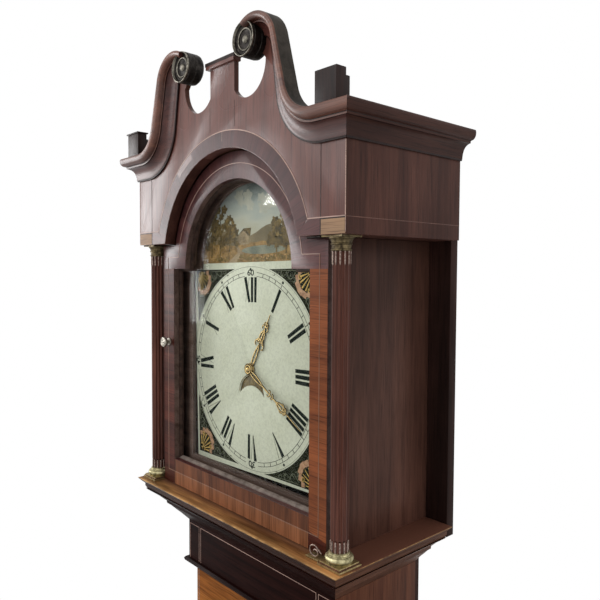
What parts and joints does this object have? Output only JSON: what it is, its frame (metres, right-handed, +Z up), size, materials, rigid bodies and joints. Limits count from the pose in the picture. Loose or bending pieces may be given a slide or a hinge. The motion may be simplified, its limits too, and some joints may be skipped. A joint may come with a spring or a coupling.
{
  "type": "longcase clock",
  "caption": "Tall case clock with a sliding glazed hood, swan-neck pediment, arched painted dial, trunk with door, bracket-footed base and a weight-driven pendulum movement.",
  "frame": {"origin": "on the floor under the middle of the clock's overall width and depth", "axes": "+Z up, +X to the right for a person who faces the dial, +Y towards the backboard"},
  "size_m": [0.55, 0.269, 2.2518],
  "materials": {
    "mahogany": "worn polish",
    "dark_mahogany": "worn polish",
    "pale_mahogany": "worn polish",
    "pine": "bare",
    "brass": "aged",
    "gilt": "gilt, worn",
    "steel": "dull",
    "lead": "dull grey",
    "painted_dial": "aged gloss paint",
    "glass": "clear",
    "cotton": "matt"
  },
  "bodies": {
    "case": {"backboard": "pine", "base_front": "mahogany", "base_side_right": "mahogany", "base_side_left": "mahogany", "waist_moulding": "mahogany", "plinth": "mahogany", "trunk_side_right": "mahogany", "trunk_side_left": "mahogany", "trunk_front_frame": "pale_mahogany", "trunk_hinge_lower": "brass", "trunk_hinge_upper": "brass", "trunk_frieze": "dark_mahogany", "throat_moulding": "dark_mahogany", "seat_board": "pine", "front_plate": "brass", "back_plate": "brass", "dial": "painted_dial", "bell": "brass", "rope_weight_loop": "cotton", "rope_ring_loop": "cotton"},
    "trunk_door": {"trunk_door": "pale_mahogany"},
    "lock_bolt": {"trunk_lock_bolt": "steel"},
    "trunk_key": {"trunk_key": "steel"},
    "hood": {"hood_base": "pale_mahogany", "hood_side_right": "mahogany", "hood_side_left": "mahogany", "frieze_right": "mahogany", "frieze_left": "mahogany", "hood_roof": "pine", "swan_neck_right": "mahogany", "swan_neck_left": "mahogany", "roundel_right": "brass", "roundel_left": "brass", "tympanum": "mahogany", "finial_block_right": "dark_mahogany", "finial_block_left": "dark_mahogany", "column_right": "dark_mahogany", "column_left": "dark_mahogany", "column_base_right": "brass", "column_base_left": "brass", "capital_right": "brass", "capital_left": "brass", "hood_mask": "dark_mahogany"},
    "hood_door": {"hood_door": "mahogany", "hood_door_glass": "glass", "hood_hinge_lower": "brass", "hood_hinge_upper": "brass"},
    "hood_knob": {"hood_knob": "brass"},
    "minute_hand": {"minute_hand": "gilt"},
    "hour_hand": {"hour_hand": "gilt"},
    "date_disc": {"date_disc": "painted_dial"},
    "great_wheel": {"great_wheel": "brass"},
    "second_wheel": {"second_wheel": "brass"},
    "escape_wheel": {"escape_wheel": "brass"},
    "strike_wheel": {"strike_wheel": "brass"},
    "anchor": {"anchor": "steel"},
    "pendulum": {"pendulum": "steel"},
    "hammer": {"hammer": "steel"},
    "driving_weight": {"driving_weight": "lead"},
    "tension_ring": {"tension_ring": "lead"}
  },
  "joints": [
    {"name": "hood_slide", "type": "slide", "parent": "case", "child": "hood", "axis": [0, -1, 0], "range_m": [0, 0.24]},
    {"name": "hood_door_hinge", "type": "hinge", "parent": "hood", "child": "hood_door", "pos_m": [0.199, -0.1015, 1.756], "axis": [0, 0, 1], "range_deg": [0, 90]},
    {"name": "hood_knob_turn", "type": "hinge", "parent": "hood_door", "child": "hood_knob", "pos_m": [-0.185, -0.0905, 1.796], "axis": [0, 1, 0], "range_deg": [0, 90]},
    {"name": "trunk_door_hinge", "type": "hinge", "parent": "case", "child": "trunk_door", "pos_m": [0.119, -0.0455, 0.9877], "axis": [0, 0, 1], "range_deg": [0, 120]},
    {"name": "trunk_key_turn", "type": "hinge", "parent": "trunk_door", "child": "trunk_key", "pos_m": [-0.105, -0.0455, 1.0177], "axis": [0, 1, 0], "range_deg": [0, 180]},
    {"name": "lock_bolt_slide", "type": "slide", "parent": "trunk_door", "child": "lock_bolt", "axis": [-1, 0, 0], "range_m": [0, 0.0081]},
    {"name": "great_wheel_turn", "type": "hinge", "parent": "case", "child": "great_wheel", "pos_m": [0.024, -0.002, 1.711], "axis": [0, 1, 0], "continuous": true},
    {"name": "minute_hand_turn", "type": "hinge", "parent": "case", "child": "minute_hand", "pos_m": [0, -0.052, 1.7675], "axis": [0, 1, 0], "continuous": true},
    {"name": "hour_hand_turn", "type": "hinge", "parent": "case", "child": "hour_hand", "pos_m": [0, -0.052, 1.7675], "axis": [0, 1, 0], "continuous": true},
    {"name": "date_disc_turn", "type": "hinge", "parent": "case", "child": "date_disc", "pos_m": [0.00118, -0.0532, 1.72782], "axis": [0, 1, 0], "continuous": true},
    {"name": "second_wheel_turn", "type": "hinge", "parent": "case", "child": "second_wheel", "pos_m": [0.028, -0.002, 1.749], "axis": [0, 1, 0], "continuous": true},
    {"name": "escape_wheel_turn", "type": "hinge", "parent": "case", "child": "escape_wheel", "pos_m": [0, -0.002, 1.7598], "axis": [0, 1, 0], "continuous": true},
    {"name": "strike_wheel_turn", "type": "hinge", "parent": "case", "child": "strike_wheel", "pos_m": [-0.026, -0.002, 1.699], "axis": [0, 1, 0], "continuous": true},
    {"name": "pendulum_swing", "type": "hinge", "parent": "case", "child": "pendulum", "pos_m": [0, 0.0735, 1.7968], "axis": [0, 1, 0], "range_deg": [-3, 3]},
    {"name": "anchor_rock", "type": "hinge", "parent": "case", "child": "anchor", "pos_m": [0, 0.018, 1.7968], "axis": [0, 1, 0], "range_deg": [-3, 3]},
    {"name": "hammer_lift", "type": "hinge", "parent": "case", "child": "hammer", "pos_m": [-0.034, 0.018, 1.8085], "axis": [0, 1, 0], "range_deg": [-15, 0], "stiffness_Nm_per_rad": 0.05, "springref_deg": 17.19},
    {"name": "weight_fall", "type": "slide", "parent": "case", "child": "driving_weight", "axis": [0, 0, 1], "range_m": [0, 0.9], "deforming": ["rope_weight_loop"]},
    {"name": "ring_rise", "type": "slide", "parent": "case", "child": "tension_ring", "axis": [0, 0, 1], "range_m": [-0.9, 0], "deforming": ["rope_ring_loop"]}
  ],
  "couplings": [
    {"joint": "lock_bolt_slide", "follows": "trunk_key_turn", "m_per_rad": 0.0025465},
    {"joint": "minute_hand_turn", "follows": "great_wheel_turn", "ratio": -1},
    {"joint": "hour_hand_turn", "follows": "great_wheel_turn", "ratio": -0.083333},
    {"joint": "date_disc_turn", "follows": "great_wheel_turn", "ratio": 0.0013441},
    {"joint": "second_wheel_turn", "follows": "great_wheel_turn", "ratio": -12},
    {"joint": "escape_wheel_turn", "follows": "great_wheel_turn", "ratio": 60},
    {"joint": "anchor_rock", "follows": "pendulum_swing", "ratio": 1},
    {"joint": "ring_rise", "follows": "weight_fall", "ratio": -1}
  ]
}
